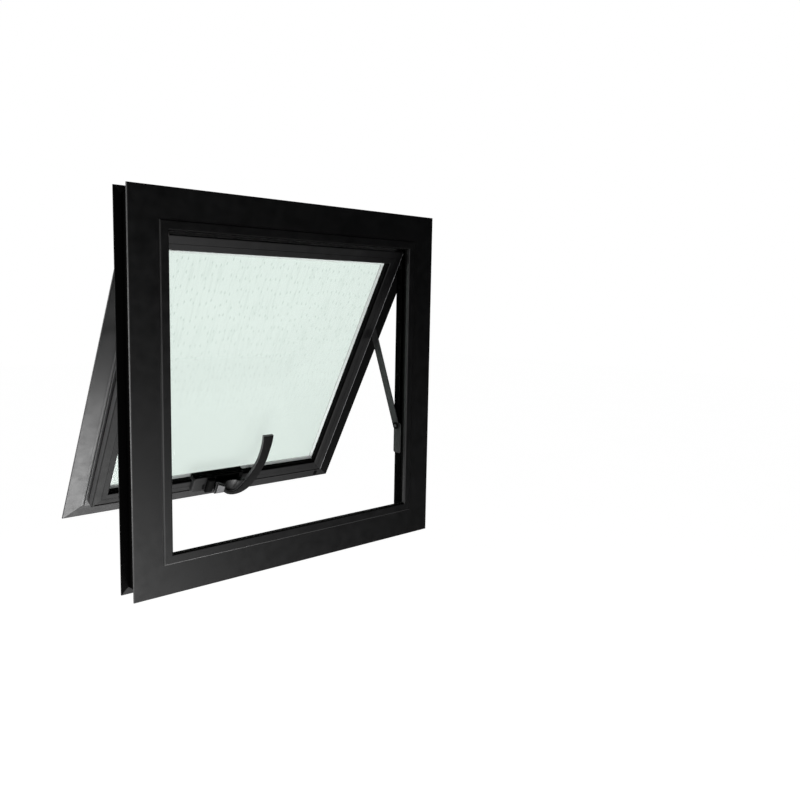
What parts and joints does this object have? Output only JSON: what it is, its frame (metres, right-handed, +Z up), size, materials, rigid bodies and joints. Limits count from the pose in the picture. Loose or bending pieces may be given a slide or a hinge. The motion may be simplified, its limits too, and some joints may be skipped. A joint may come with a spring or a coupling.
{
  "type": "top-hung awning window",
  "caption": "Square black aluminium top-hung awning window standing open, with a wide room-side trim, obscure glass, side friction stays and a curved lever handle.",
  "frame": {"origin": "back of the room-side trim, at the middle of the sill's wall strip", "axes": "+X to the right as seen from the room, +Y outwards through the wall, +Z up"},
  "size_m": [0.6, 0.3064, 0.6],
  "materials": {
    "frame_paint": "satin black powder coat",
    "sash_paint": "satin black powder coat",
    "glass": "obscure patterned glass with a pale green tint",
    "rubber": "matte black",
    "stay_steel": "black coated steel",
    "handle_paint": "satin black powder coat on die-cast metal",
    "handle_metal": "bare die-cast metal"
  },
  "bodies": {
    "root": {"frame_sill": "frame_paint", "frame_head": "frame_paint", "frame_jamb_left": "frame_paint", "frame_jamb_right": "frame_paint", "frame_seal": "rubber", "sash_rail_bottom": "sash_paint", "sash_rail_top": "sash_paint", "sash_stile_left": "sash_paint", "sash_stile_right": "sash_paint", "bead_bottom": "sash_paint", "bead_top": "sash_paint", "bead_left": "sash_paint", "bead_right": "sash_paint", "glass_pane": "glass", "gasket_room_side": "rubber", "gasket_outside": "rubber", "sash_seal": "rubber", "stay_track_left": "stay_steel", "stay_track_right": "stay_steel", "stay_arm_left": "stay_steel", "stay_arm_right": "stay_steel", "stay_pivot_left": "stay_steel", "stay_pivot_right": "stay_steel", "stay_slider_left": "stay_steel", "stay_slider_right": "stay_steel", "handle_base": "handle_paint", "handle_cam": "handle_paint", "handle_lever": "handle_paint", "handle_cap": "handle_metal"}
  },
  "joints": []
}
